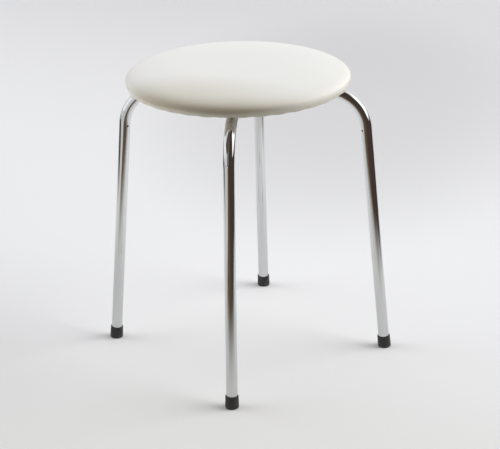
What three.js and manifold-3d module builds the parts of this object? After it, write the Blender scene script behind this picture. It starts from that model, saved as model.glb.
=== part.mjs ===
// A low round stool: a thin padded seat, covered in off-white vinyl, on four bent chromed tubes.
// Sizes are in millimetres and +Z is up. The origin is on the floor, under the middle of the leg frame,
// and one leg lies over each of the axes +X, +Y, -X and -Y.

import * as THREE from 'three';
import { mergeVertices } from 'three/addons/utils/BufferGeometryUtils.js';
import Module from 'manifold-3d';

const wasm = await Module();
wasm.setup();

// Overall sizes
const overallHeight = 461;
const seatDiameter = 340;
const footCircleDiameter = 434;
const splayDegrees = 5.1;

// The seat is screwed on a little towards the left leg, so the right leg stands out further
const seatShift = 8;

// Clearances, and how far a cutter reaches past what it cuts
const clearance = 0.3;
const screwHoleClearance = 0.5;
const overrun = 2;

// Seat pad
const coverThickness = 1.2;
const foamThickness = 17;
const boardThickness = 10;
const boardInset = 12;
const boardChamfer = 1.5;
const crownRise = 22;
const crownFlatness = 5.4;
const underRoll = 10;
const hemMargin = 14;

// Legs
const tubeDiameter = 17;
const tubeWall = 1.5;
const bendRadius = 62;
const ventDiameter = 3.2;
const ventBelowBend = 2.5;

// Hub ring in the middle of the frame, and the weld bead round each tube's end
const hubDiameter = 46;
const hubWall = 3;
const hubMargin = 1;
const hubChamfer = 0.6;
const weldHeight = 3;
const weldLength = 3.2;

// Rubber feet
const footHeight = 19;
const footWall = 1.5;
const footTaper = 0.45;
const footSole = 4;
const footEdgeRadius = 2.5;
const footLipRadius = 0.6;
const footWasherThickness = 1.5;

// Seat screws, insert nuts and the saddles above and below each tube
const screwFromBend = 27.7;
const screwDiameter = 6;
const screwLength = 30;
const screwTipChamfer = 0.8;
const screwHeadDiameter = 12;
const screwHeadHeight = 3.6;
const socketAcrossCorners = 4.6;
const socketDepth = 2.2;
const spacerDiameter = 22;
const spacerThickness = 1.5;
const spacerWrap = 3;
const washerDiameter = 15;
const washerThickness = 1.5;
const washerWrap = 2;
const nutWall = 1.4;
const nutFlangeDiameter = 19;
const nutFlangeThickness = 1.5;
const nutRecess = 1;

// How finely round shapes are cut into flats
const seatSides = 48;
const tubeSides = 20;
const bendSteps = 10;
const footSides = 24;
const hubSides = 32;
const smallSides = 16;
const crownSteps = 7;
const rollSteps = 4;
const edgeSteps = 3;
const hexSides = 6;

// Radii and angles
const quarterTurn = Math.PI / 2;
const legSides = ['right', 'back', 'left', 'front'];
const legAngles = legSides.map((side, place) => place * quarterTurn);
const splay = THREE.MathUtils.degToRad(splayDegrees);
const seatRadius = seatDiameter / 2;
const boardRadius = seatRadius - boardInset;
const footCircleRadius = footCircleDiameter / 2;
const tubeRadius = tubeDiameter / 2;
const boreRadius = tubeRadius - tubeWall;
const snugRadius = tubeRadius + clearance;
const hubRadius = hubDiameter / 2;
const screwRadius = screwDiameter / 2;

// Heights of the seat's layers, from the crown down, and of the tubes' level run under them
const foamTop = overallHeight - coverThickness - clearance;
const boardTop = foamTop - foamThickness - clearance;
const boardBottom = boardTop - boardThickness;
const coverBottom = boardBottom - clearance - coverThickness;
const widestHeight = overallHeight - crownRise;
const rollHeight = widestHeight - coverBottom;
const spacerCrest = boardBottom - clearance - spacerThickness;
const runHeight = spacerCrest - snugRadius;
const washerCrest = runHeight - snugRadius;
const screwHeadTop = washerCrest - washerThickness - clearance;

// A leg in its own upright plane: up from its foot point, round the bend and level to the hub
const turn = quarterTurn - splay;
const bendSetback = bendRadius * Math.tan(turn / 2);
const bendEndReach = footCircleRadius - runHeight * Math.tan(splay) - bendSetback;
const upTheLeg = new THREE.Vector3(-Math.sin(splay), 0, Math.cos(splay));
const outFromLeg = new THREE.Vector3(Math.cos(splay), 0, Math.sin(splay));
const bendCentre = new THREE.Vector3(bendEndReach, 0, runHeight - bendRadius);
const bendStart = bendCentre.clone().addScaledVector(outFromLeg, bendRadius);
const footPoint = new THREE.Vector3(footCircleRadius, 0, 0);

// The seat screws go through the level runs, short of the bends, and the hem stays clear of their spacers
const screwReach = bendEndReach - screwFromBend;
const hemReach = screwReach + spacerDiameter / 2 + seatShift + hemMargin;

// Places in a foot, measured up the leg from the floor
const footWasherBottom = footSole + clearance;
const tubeStart = footWasherBottom + footWasherThickness + clearance;

// Materials
const vinyl = { color: 0xe7e6e0, roughness: 0.42, metalness: 0 };
const foam = { color: 0xe3d6a4, roughness: 0.95, metalness: 0 };
const plywood = { color: 0xc79f68, roughness: 0.7, metalness: 0 };
const chrome = { color: 0xd4d6d8, roughness: 0.06, metalness: 1 };
const weldMetal = { color: 0xbfc1c3, roughness: 0.25, metalness: 1 };
const zincSteel = { color: 0xb4b6b2, roughness: 0.4, metalness: 1 };
const blackRubber = { color: 0x2b2929, roughness: 0.75, metalness: 0 };
const blackNylon = { color: 0x1d1d1e, roughness: 0.5, metalness: 0 };

// Makes a boolean solid from a closed geometry: positions only, with shared corners merged.
function solidOf(geometry) {
  const bare = geometry.clone();
  bare.deleteAttribute('normal');
  bare.deleteAttribute('uv');
  const merged = mergeVertices(bare);
  const corners = merged.getIndex().array;
  const triangles = [];
  for (let i = 0; i < corners.length; i += 3) {
    const [a, b, c] = corners.slice(i, i + 3);
    if (a !== b && b !== c && c !== a) triangles.push(a, b, c);
  }
  const vertProperties = Float32Array.from(merged.getAttribute('position').array);
  const triVerts = Uint32Array.from(triangles);
  return new wasm.Manifold(new wasm.Mesh({ numProp: 3, vertProperties, triVerts }));
}

// Turns a boolean solid back into a geometry.
function geometryOf(solid) {
  const { vertProperties, triVerts } = solid.getMesh();
  const geometry = new THREE.BufferGeometry();
  geometry.setAttribute('position', new THREE.BufferAttribute(vertProperties, 3));
  geometry.setIndex(new THREE.BufferAttribute(triVerts, 1));
  geometry.computeVertexNormals();
  return geometry;
}

function cut(geometry, cutters) {
  let solid = solidOf(geometry);
  for (const cutter of cutters) solid = solid.subtract(solidOf(cutter));
  return geometryOf(solid);
}

function keepInside(geometry, region) {
  return geometryOf(solidOf(geometry).intersect(solidOf(region)));
}

// A shape turned about Z, from [radius, height] pairs that start and end on the axis.
function turned(outline, sides) {
  const points = outline.map(([radius, height]) => new THREE.Vector2(radius, height));
  return new THREE.LatheGeometry(points, sides).rotateX(quarterTurn);
}

// A ring turned about Z: its outline closes on itself.
function turnedRing(outline, sides) {
  return turned([...outline, outline[0]], sides);
}

// A round post along Z.
function post(radius, bottom, top, sides) {
  const geometry = new THREE.CylinderGeometry(radius, radius, top - bottom, sides);
  return geometry.rotateX(quarterTurn).translate(0, 0, (top + bottom) / 2);
}

// A round rod along X, on the axis of a tube's level run.
function rodOnRun(radius, from, to) {
  return post(radius, from, to, tubeSides).rotateY(quarterTurn).translate(0, 0, runHeight);
}

// A round corner as [radius, height] pairs.
function roundCorner(centre, cornerRadius, fromAngle, toAngle) {
  const corner = [];
  for (let i = 0; i <= edgeSteps; i += 1) {
    const angle = THREE.MathUtils.lerp(fromAngle, toAngle, i / edgeSteps);
    corner.push([centre[0] + cornerRadius * Math.cos(angle), centre[1] + cornerRadius * Math.sin(angle)]);
  }
  return corner;
}

// The seat's side at a depth under its surface: out along the roll below, round the widest line,
// and up over the crown, which is a flattened ellipse.
function seatOutline(depth) {
  const outline = [];
  for (let i = 0; i < rollSteps; i += 1) {
    const angle = quarterTurn * (1 - i / rollSteps);
    const radius = seatRadius - underRoll + (underRoll - depth) * Math.cos(angle);
    outline.push([radius, widestHeight - (rollHeight - depth) * Math.sin(angle)]);
  }
  for (let i = 0; i < crownSteps; i += 1) {
    const angle = quarterTurn * (i / crownSteps);
    const radius = (seatRadius - depth) * Math.cos(angle) ** (2 / crownFlatness);
    outline.push([radius, widestHeight + (crownRise - depth) * Math.sin(angle)]);
  }
  outline.push([0, overallHeight - depth]);
  return outline;
}

// The skin goes over the crown, round the rim and in under the board, where its edge is stapled.
function seatCover() {
  const hem = [[hemReach, coverBottom + coverThickness], [hemReach, coverBottom]];
  const inside = seatOutline(coverThickness).reverse();
  return turned([...inside, ...hem, ...seatOutline(0)], seatSides);
}

// The foam lies on the board, and its lip goes down round the board's edge.
function foamPad() {
  const depth = coverThickness + clearance;
  const lipReach = boardRadius + clearance;
  const foamBottom = boardTop + clearance;
  const underside = [[0, foamBottom], [lipReach, foamBottom], [lipReach, coverBottom + depth]];
  return turned([...underside, ...seatOutline(depth)], seatSides);
}

// The board has a hole for each insert nut, with a sunk pocket for its flange.
function seatBoard() {
  const outline = [
    [0, boardBottom],
    [boardRadius - boardChamfer, boardBottom],
    [boardRadius, boardBottom + boardChamfer],
    [boardRadius, boardTop - boardChamfer],
    [boardRadius - boardChamfer, boardTop],
    [0, boardTop],
  ];
  const barrel = screwRadius + clearance + nutWall + clearance;
  const flange = nutFlangeDiameter / 2 + clearance;
  const pocketBottom = boardTop - nutFlangeThickness - clearance;
  const cutters = [];
  for (const angle of legAngles) {
    const through = post(barrel, boardBottom - overrun, boardTop + overrun, smallSides);
    const pocket = post(flange, pocketBottom, boardTop + overrun, smallSides);
    cutters.push(through.translate(screwReach, 0, 0).rotateZ(angle));
    cutters.push(pocket.translate(screwReach, 0, 0).rotateZ(angle));
  }
  return cut(turned(outline, seatSides).translate(-seatShift, 0, 0), cutters);
}

function hubRing() {
  const bore = hubRadius - hubWall;
  const bottom = runHeight - tubeRadius - hubMargin;
  const top = runHeight + tubeRadius + hubMargin;
  const outline = [
    [bore, bottom],
    [hubRadius - hubChamfer, bottom],
    [hubRadius, bottom + hubChamfer],
    [hubRadius, top - hubChamfer],
    [hubRadius - hubChamfer, top],
    [bore, top],
  ];
  return turnedRing(outline, hubSides);
}

// The middle line of a leg's tube. Its steps fall where the tube bends: one goes up the straight leg,
// the next ones go round the bend, and the last one goes along the level run.
class LegLine extends THREE.Curve {
  getPoint(share, target = new THREE.Vector3()) {
    const step = share * (bendSteps + 2);
    if (step <= 1) {
      const start = footPoint.clone().addScaledVector(upTheLeg, tubeStart);
      return target.lerpVectors(start, bendStart, step);
    }
    if (step >= bendSteps + 1) {
      const bendEnd = new THREE.Vector3(bendEndReach, 0, runHeight);
      const inHub = new THREE.Vector3(hubRadius - hubWall, 0, runHeight);
      return target.lerpVectors(bendEnd, inHub, step - bendSteps - 1);
    }
    const angle = splay + turn * ((step - 1) / bendSteps);
    const outward = new THREE.Vector3(Math.cos(angle), 0, Math.sin(angle));
    return target.copy(bendCentre).addScaledVector(outward, bendRadius);
  }

  getUtoTmapping(share) {
    return share;
  }
}

// A hollow bent tube, coped to the hub, with a hole for its seat screw and a vent inside the bend.
function legTube() {
  const section = new THREE.Shape().absarc(0, 0, tubeRadius, 0, 2 * Math.PI);
  section.holes.push(new THREE.Path().absarc(0, 0, boreRadius, 0, 2 * Math.PI));
  const tube = new THREE.ExtrudeGeometry(section, {
    steps: bendSteps + 2,
    curveSegments: tubeSides / 2,
    extrudePath: new LegLine(),
  });
  const cope = post(hubRadius + clearance, runHeight - snugRadius, runHeight + snugRadius, hubSides);
  const screwHole = post(screwRadius + screwHoleClearance, washerCrest, spacerCrest, smallSides);
  const vent = post(ventDiameter / 2, 0, snugRadius, smallSides).rotateY(-quarterTurn - splay);
  const ventPoint = bendStart.clone().addScaledVector(upTheLeg, -ventBelowBend);
  vent.translate(ventPoint.x, ventPoint.y, ventPoint.z);
  return cut(tube, [cope, screwHole.translate(screwReach, 0, 0), vent]);
}

// The bead fills the corner between the tube's end and the hub, and is ground level with the hub's rims.
function hubWeld() {
  const outer = snugRadius + weldHeight;
  const hubSide = Math.sqrt(hubRadius ** 2 - outer ** 2) - weldHeight;
  const hubFace = hubRadius + clearance;
  const outline = [
    [snugRadius, hubSide],
    [outer, hubSide],
    [outer, hubFace - weldHeight / 2],
    [snugRadius + weldHeight / 2, hubFace + weldLength / 3],
    [snugRadius, hubFace + weldLength],
  ];
  const bead = turnedRing(outline, tubeSides).rotateY(quarterTurn).translate(0, 0, runHeight);
  const level = tubeRadius + hubMargin;
  const belowRim = post(hubDiameter, runHeight - level, runHeight + level, hubSides);
  const hubSpace = post(hubFace, runHeight - outer, runHeight + outer, hubSides);
  return cut(keepInside(bead, belowRim), [hubSpace]);
}

// Leans a shape made upright on the origin, so that it stands on the leg's foot point.
function leaned(geometry) {
  return geometry.rotateY(-splay).translate(footCircleRadius, 0, 0);
}

// A rubber ferrule: a slightly tapered cup with a rounded bottom edge, worn level with the floor.
function rubberFoot() {
  const bottomRadius = snugRadius + footWall;
  const topRadius = bottomRadius - footTaper;
  const sink = bottomRadius * Math.tan(splay);
  const bottomEdge = [bottomRadius - footEdgeRadius, footEdgeRadius - sink];
  const lipEdge = [topRadius - footLipRadius, footHeight - footLipRadius];
  const outline = [
    [0, -sink],
    ...roundCorner(bottomEdge, footEdgeRadius, -quarterTurn, 0),
    ...roundCorner(lipEdge, footLipRadius, 0, quarterTurn),
    [snugRadius, footHeight],
    [snugRadius, footSole],
    [0, footSole],
  ];
  const underFloor = post(footCircleRadius, -footHeight, 0, hubSides).translate(footCircleRadius, 0, 0);
  return cut(leaned(turned(outline, footSides)), [underFloor]);
}

// A steel disc that keeps the tube's end from cutting through the rubber.
function footWasher() {
  return leaned(post(tubeRadius, footWasherBottom, footWasherBottom + footWasherThickness, smallSides));
}

// A saddle hugs the round tube on one side and is flat on the other, with a hole for the screw.
function saddle(diameter, flatHeight, wrapHeight) {
  const bottom = Math.min(flatHeight, wrapHeight);
  const top = Math.max(flatHeight, wrapHeight);
  const tubeSpace = rodOnRun(snugRadius, -diameter, diameter);
  const hole = post(screwRadius + clearance, bottom - overrun, top + overrun, smallSides);
  const block = cut(post(diameter / 2, bottom, top, footSides), [tubeSpace, hole]);
  return block.translate(screwReach, 0, 0);
}

function saddleSpacer() {
  return saddle(spacerDiameter, spacerCrest + spacerThickness, spacerCrest - spacerWrap);
}

function saddleWasher() {
  return saddle(washerDiameter, washerCrest - washerThickness, washerCrest + washerWrap);
}

// A pan-head machine screw with a hexagon socket, going up through the tube into the board.
function seatScrew() {
  const headRadius = screwHeadDiameter / 2;
  const headBottom = screwHeadTop - screwHeadHeight;
  const tip = screwHeadTop + screwLength;
  const outline = [
    [0, headBottom],
    [headRadius / 2, headBottom],
    [headRadius, headBottom + screwHeadHeight / 2],
    [headRadius, screwHeadTop],
    [screwRadius, screwHeadTop],
    [screwRadius, tip - screwTipChamfer],
    [screwRadius - screwTipChamfer, tip],
    [0, tip],
  ];
  const socket = post(socketAcrossCorners / 2, headBottom - overrun, headBottom + socketDepth, hexSides);
  return cut(turned(outline, smallSides), [socket]).translate(screwReach, 0, 0);
}

// A flanged nut sunk in the board from above.
function insertNut() {
  const bore = screwRadius + clearance;
  const barrel = bore + nutWall;
  const flange = nutFlangeDiameter / 2;
  const flangeBottom = boardTop - nutFlangeThickness;
  const outline = [
    [bore, boardBottom + nutRecess],
    [barrel, boardBottom + nutRecess],
    [barrel, flangeBottom],
    [flange, flangeBottom],
    [flange, boardTop],
    [bore, boardTop],
  ];
  return turnedRing(outline, smallSides).translate(screwReach, 0, 0);
}

function piece(name, geometry, look) {
  const mesh = new THREE.Mesh(geometry, new THREE.MeshStandardMaterial(look));
  mesh.name = name;
  return mesh;
}

// Each leg brings its own foot, weld, screw, saddles and nut, and its group turns them into place.
function leg(side, angle) {
  const group = new THREE.Group();
  group.add(
    piece(`leg_${side}`, legTube(), chrome),
    piece(`hub_weld_${side}`, hubWeld(), weldMetal),
    piece(`foot_${side}`, rubberFoot(), blackRubber),
    piece(`foot_washer_${side}`, footWasher(), zincSteel),
    piece(`saddle_spacer_${side}`, saddleSpacer(), blackNylon),
    piece(`saddle_washer_${side}`, saddleWasher(), blackNylon),
    piece(`seat_screw_${side}`, seatScrew(), zincSteel),
    piece(`insert_nut_${side}`, insertNut(), zincSteel),
  );
  group.rotation.z = angle;
  return group;
}

function seat() {
  const group = new THREE.Group();
  const cover = piece('seat_cover', seatCover(), vinyl);
  const pad = piece('foam_pad', foamPad(), foam);
  for (const mesh of [cover, pad]) mesh.position.x = -seatShift;
  group.add(cover, pad, piece('seat_board', seatBoard(), plywood));
  return group;
}

const stool = new THREE.Group();
stool.add(seat(), piece('hub_ring', hubRing(), chrome));
legSides.forEach((side, place) => stool.add(leg(side, legAngles[place])));

export default stool;
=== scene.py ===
"""A low round stool: an off-white vinyl seat on four bent chromed tubes that end in black rubber feet.

Lengths are in metres, in the part's own frame: +Z is up, the origin is on the floor in the middle of
the leg frame, and the legs lie over +X (right), +Y (back), -X (left) and -Y (front).
"""

import math
import random

import bmesh
import bpy
import numpy as np
from mathutils import Matrix, Vector


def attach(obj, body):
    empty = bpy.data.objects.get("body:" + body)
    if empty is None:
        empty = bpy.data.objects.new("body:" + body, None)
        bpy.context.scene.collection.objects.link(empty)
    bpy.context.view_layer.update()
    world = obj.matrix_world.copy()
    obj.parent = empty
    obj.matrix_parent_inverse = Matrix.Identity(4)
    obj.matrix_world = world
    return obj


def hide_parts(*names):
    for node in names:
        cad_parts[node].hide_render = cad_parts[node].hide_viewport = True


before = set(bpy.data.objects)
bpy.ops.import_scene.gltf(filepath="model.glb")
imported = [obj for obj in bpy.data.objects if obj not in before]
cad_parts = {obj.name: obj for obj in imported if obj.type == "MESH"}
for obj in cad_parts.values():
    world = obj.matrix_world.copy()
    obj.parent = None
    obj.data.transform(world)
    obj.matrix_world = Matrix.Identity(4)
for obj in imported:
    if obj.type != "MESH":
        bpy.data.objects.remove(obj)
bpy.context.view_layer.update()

MM = 0.001
QUARTER = math.pi / 2
FULL = 2 * math.pi

# Stands in for a length of zero where something is divided by it
TINY = 1e-9

# Edges sharper than this are kept crisp, and on the cover only sharper ones
SHARP_DEGREES = 40
COVER_SHARP_DEGREES = 50

# Seat
OVERALL_HEIGHT = 461 * MM
SEAT_RADIUS = 170 * MM
SEAT_SHIFT = 8 * MM
CLEARANCE = 0.3 * MM
COVER_THICKNESS = 1.2 * MM
FOAM_THICKNESS = 17 * MM
BOARD_THICKNESS = 10 * MM
BOARD_RADIUS = 158 * MM
UNDER_ROLL = 10 * MM
HEM_REACH = 128 * MM

# The crown over the seat's widest line, as the photo shows it: a little lower than the solid's
CROWN_RISE = 18.5 * MM
CROWN_FLATNESS = 4.8

# Tube and its bend
TUBE_RADIUS = 8.5 * MM
TUBE_WALL = 1.5 * MM
BEND_RADIUS = 62 * MM
FOOT_CIRCLE = 217 * MM
SPLAY = math.radians(5.1)
VENT_RADIUS = 1.6 * MM
VENT_BELOW_BEND = 2.5 * MM
SCREW_FROM_BEND = 27.7 * MM
SCREW_HOLE_RADIUS = 3.5 * MM

# Hub ring and weld beads
HUB_RADIUS = 23 * MM
HUB_WALL = 3 * MM
HUB_MARGIN = 1 * MM
HUB_ROUNDING = 0.6 * MM
WELD_HEIGHT = 3 * MM
WELD_LENGTH = 3.2 * MM
WELD_SHOULDER_SHARE = 0.72
WELD_RIPPLE = 0.22 * MM
WELD_RIPPLES = 26

# Rubber feet
FOOT_HEIGHT = 19 * MM
FOOT_WALL = 1.5 * MM
FOOT_TAPER = 0.45 * MM
FOOT_SOLE = 4 * MM
FOOT_EDGE = 2.5 * MM
FOOT_LIP = 0.6 * MM
FOOT_BORE_GAP = 0.05 * MM
FOOT_BORE_EASE = 0.2 * MM
FOOT_BORE_EASE_DEPTH = 0.3 * MM
TUBE_START = 6.1 * MM

# Seat screws, and the saddles above and below each tube
SCREW_RADIUS = 3 * MM
SCREW_LENGTH = 30 * MM
SCREW_TIP = 0.8 * MM
HEAD_RADIUS = 6 * MM
HEAD_HEIGHT = 3.6 * MM
HEAD_EASE = 0.3 * MM
SOCKET_CORNER = 2.3 * MM
SOCKET_DEPTH = 2.2 * MM
SOCKET_POINT = 0.5 * MM
SPACER_RADIUS = 11 * MM
SPACER_THICKNESS = 1.5 * MM
SPACER_WRAP = 3 * MM
WASHER_RADIUS = 7.5 * MM
WASHER_THICKNESS = 1.5 * MM
WASHER_WRAP = 2 * MM
SADDLE_EASE = 0.4 * MM

# Staples that hold the cover under the board, each one a little skewed, in radians
STAPLES = 38
STAPLE_SEED = 11
STAPLE_RADIUS = 142 * MM
STAPLE_SCATTER = 1.25 * MM
STAPLE_SKEW = 0.15
STAPLE_CROWN = 10 * MM
STAPLE_WIRE = 0.7 * MM
STAPLE_WIDTH_SHARE = 1.5
STAPLE_LEG = 3 * MM

# Gathers between the staples; where a leg presses on the hem there is none
GATHER_SEED = 7
GATHER_DEPTH = 1.1 * MM
GATHER_DEPTH_SHARES = (0.55, 1)
GATHER_LEAN_SHARE = 0.15
GATHER_ROUNDNESS = 1.3
GATHER_ON_ROLL = 0.8 * MM
GATHER_MIDDLE_SHARE = 0.45
ROLL_DROP_SHARE = 0.8
HEM_SHARE = 0.2
LEG_PRESS = 16 * MM

# How the cover is simulated: the lowest share of its roll is held, and no point moves past the cap
CLOTH_FRAMES = 20
CLOTH_SETTINGS = {
    "quality": 6, "mass": 0.35, "tension_stiffness": 60, "compression_stiffness": 60,
    "shear_stiffness": 30, "bending_stiffness": 30, "shrink_min": 0.004,
    "use_pressure": True, "uniform_pressure_force": 4,
}
CLOTH_HELD_SHARE = 0.3
CLOTH_CAP = 1.5 * MM
CLOTH_EVENING_ROUNDS = 24

# The cover starts this much inside its place, above a share of its roll. The inset points down in
# the middle and inward at the rim, by a power of the reach.
START_INSET = 0.3 * MM
START_INSET_POWER = 4
START_ROLL_SHARE = 0.5

# How finely things are divided; the crowding is a power that draws the crown's points to the rim
CROWN_STEPS = 400
CROWN_CROWDING = 0.6
ROLL_STEPS = 60
SEAT_RINGS = 42
SEAT_SECTORS = 6
RIM_STEP_SHARE = 0.7
TUBE_SIDES = 48
BEND_STEPS = 44
FOOT_SIDES = 64
HUB_SIDES = 96
WELD_SIDES = 104
WELD_STEPS = 9
CORNER_STEPS = 6
SCREW_SIDES = 48
SADDLE_SIDES = 96
SADDLE_RINGS = 14
STAPLE_SIDES = 8

# Rows of points on a tube: shares of its straight, and cells before and after each hole's middle
STRAIGHT_SHARES = (0.35, 0.7)
VENT_CELLS = (-6, -3, -2, -1, 0, 1, 2)
SCREW_CELLS = (8, 4, 3, 2, 1, 0, -1, -2, -3, -4, -8)

# Half the side, in cells, of the square that gives way to each hole
VENT_HALF = 2
SCREW_HALF = 3

# Cells round the tube by which a vent is turned from straight inward: at the sides, towards the front
VENT_TURNS = {"right": 6, "back": 0, "left": -6, "front": 0}

# Places worked out from the sizes
FOAM_TOP = OVERALL_HEIGHT - COVER_THICKNESS - CLEARANCE
BOARD_TOP = FOAM_TOP - FOAM_THICKNESS - CLEARANCE
BOARD_BOTTOM = BOARD_TOP - BOARD_THICKNESS
COVER_BOTTOM = BOARD_BOTTOM - CLEARANCE - COVER_THICKNESS
WIDEST_HEIGHT = OVERALL_HEIGHT - CROWN_RISE
ROLL_HEIGHT = WIDEST_HEIGHT - COVER_BOTTOM
SNUG_RADIUS = TUBE_RADIUS + CLEARANCE
RUN_HEIGHT = BOARD_BOTTOM - CLEARANCE - SPACER_THICKNESS - SNUG_RADIUS
TURN = QUARTER - SPLAY
BEND_END_REACH = FOOT_CIRCLE - RUN_HEIGHT * math.tan(SPLAY) - BEND_RADIUS * math.tan(TURN / 2)
SCREW_REACH = BEND_END_REACH - SCREW_FROM_BEND
HUB_FACE = HUB_RADIUS + CLEARANCE
LEGS = {"right": 0, "back": QUARTER, "left": math.pi, "front": -QUARTER}

# Camera, where the photograph was taken from
CAMERA_PLACE = (0.2747, -2.1566, 1.1022)
CAMERA_HEADING = math.radians(-7.12)
CAMERA_PITCH = math.radians(-22.49)
CAMERA_ROLL = math.radians(-1.22)
CAMERA_LENS = 108.7


def make_camera():
    """The camera is turned by a compass heading, a pitch and a roll about its own view line."""
    heading, pitch, roll = CAMERA_HEADING, CAMERA_PITCH, CAMERA_ROLL
    flat = math.cos(pitch)
    ahead = Vector((math.sin(heading) * flat, math.cos(heading) * flat, math.sin(pitch)))
    level = Vector((math.cos(heading), -math.sin(heading), 0))
    above = level.cross(ahead)
    right = math.cos(roll) * level + math.sin(roll) * above
    up = -math.sin(roll) * level + math.cos(roll) * above
    turned = Matrix((right, up, -ahead)).transposed().to_4x4()
    data = bpy.data.cameras.new("camera")
    data.lens = CAMERA_LENS
    camera = bpy.data.objects.new("camera", data)
    camera.matrix_world = Matrix.Translation(CAMERA_PLACE) @ turned
    bpy.context.scene.collection.objects.link(camera)
    bpy.context.scene.camera = camera


# Meshes

def make_object(name, points, faces, material, sharp_degrees=SHARP_DEGREES):
    """A smooth-shaded mesh whose faces point out, with edges sharper than an angle kept crisp."""
    mesh = bpy.data.meshes.new(name)
    mesh.from_pydata([tuple(p) for p in points], [], faces)
    shape = bmesh.new()
    shape.from_mesh(mesh)
    bmesh.ops.recalc_face_normals(shape, faces=shape.faces)
    shape.to_mesh(mesh)
    shape.free()
    mesh.shade_smooth()
    mesh.set_sharp_from_angle(angle=math.radians(sharp_degrees))
    mesh.materials.append(material)
    made = bpy.data.objects.new(name, mesh)
    bpy.context.scene.collection.objects.link(made)
    return made


def evaluated_points(thing):
    """The points of an object's mesh with its modifiers, as an array."""
    graph = bpy.context.evaluated_depsgraph_get()
    mesh = thing.evaluated_get(graph).to_mesh()
    flat = np.zeros(len(mesh.vertices) * 3)
    mesh.vertices.foreach_get("co", flat)
    return flat.reshape(-1, 3)


def move_points(thing, points):
    """Gives the points of an object's mesh new places."""
    thing.data.vertices.foreach_set("co", points.ravel())
    thing.data.update()


def bake_modifiers(thing):
    """Replaces an object's mesh by what its modifiers make of it."""
    graph = bpy.context.evaluated_depsgraph_get()
    baked = bpy.data.meshes.new_from_object(thing.evaluated_get(graph))
    thing.modifiers.clear()
    thing.data = baked


def finish_piece(piece, replaced=()):
    """A piece rides on the stool's one body, and the CAD nodes it replaces are hidden."""
    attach(piece, "root")
    if replaced:
        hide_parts(*replaced)


def circle(reach, height, count):
    """Points of a level ring round the Z axis. Its reach may be a function of the angle."""
    turns = [FULL * j / count for j in range(count)]
    reaches = [reach(turn) if callable(reach) else reach for turn in turns]
    return [(r * math.cos(turn), r * math.sin(turn), height) for r, turn in zip(reaches, turns)]


def square(half, height):
    """Corners of a level square round the Z axis."""
    return [(-half, -half, height), (half, -half, height), (half, half, height), (-half, half, height)]


def turned_by(points, angle):
    """Points turned about Z."""
    c, s = math.cos(angle), math.sin(angle)
    return [(c * x - s * y, s * x + c * y, z) for x, y, z in points]


def band(first, second, count):
    """Faces between two rings of as many points, given the number of each ring's first point."""
    steps = [(j, (j + 1) % count) for j in range(count)]
    return [(first + j, second + j, second + k, first + k) for j, k in steps]


def fan(centre, first, count):
    """Faces between a point and a ring."""
    return [(centre, first + j, first + (j + 1) % count) for j in range(count)]


def round_corner(centre, radius, start, end):
    """A rounded corner of an outline, as (radius, height) pairs."""
    angles = np.linspace(start, end, CORNER_STEPS + 1)
    return [(centre[0] + radius * math.cos(a), centre[1] + radius * math.sin(a)) for a in angles]


def spun(outline, sides):
    """Points and faces of an outline of (radius, height) pairs turned about Z.

    An outline that starts and ends on the axis closes there, and any other one closes on itself.
    """
    points, rings = [], []
    for radius, height in outline:
        count = 1 if radius == 0 else sides
        rings.append((len(points), count))
        points += circle(radius, height, count)
    if rings[0][1] == sides:
        rings.append(rings[0])
    faces = []
    for (first, first_count), (second, second_count) in zip(rings, rings[1:]):
        if first_count == second_count:
            faces += band(first, second, sides)
        elif first_count == 1:
            faces += fan(first, second, sides)
        else:
            faces += fan(second, first, sides)
    return points, faces


# Materials

# How deep the grain of each surface is
VINYL_GRAIN = 0.1 * MM
CHROME_WAVES = 0.4 * MM
WELD_GRAIN = 0.15 * MM
ZINC_GRAIN = 0.1 * MM
RUBBER_GRAIN = 0.12 * MM
NYLON_GRAIN = 0.08 * MM
PLYWOOD_GRAIN = 0.15 * MM
FOAM_CELLS = 0.5 * MM
PAPER_GRAIN = 0.1 * MM

# Heights between which painted shade sets in: warm shade, and shade under the roll, over the seat's widest
# line, and shade where the cover turns under, over the cover's bottom
WARM_SHADE_SPAN = (18 * MM, 2 * MM)
UNDER_ROLL_SHADE_SPAN = (0, -5 * MM)
UNDERSIDE_SHADE_SPAN = (3.5 * MM, 1 * MM)
WARM_SHADE_WAVER = 3 * MM

# Where the cover is darkest at the front, aged and with painted shade: a place, and the reach at which it
# starts and is full.
# Both are measured after the shares have squeezed the seat's width.
AGED_AND_SHADED_SQUEEZE_SHARES = (0.6, 1, 1)
AGED_AND_SHADED_PLACE = (-36 * MM, -165 * MM, WIDEST_HEIGHT)
AGED_AND_SHADED_REACH = (125 * MM, 35 * MM)

# Heights over the floor between which the chrome turns dull and the rubber loses its dust
DULLING_HEIGHTS = (250 * MM, 60 * MM)
DUST_HEIGHTS = (0, 7 * MM)
DUST_SHARE = 0.55

# Numbers of a colour mix node's sockets
MIX_FIRST = 6
MIX_SECOND = 7
MIX_RESULT = 2


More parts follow.
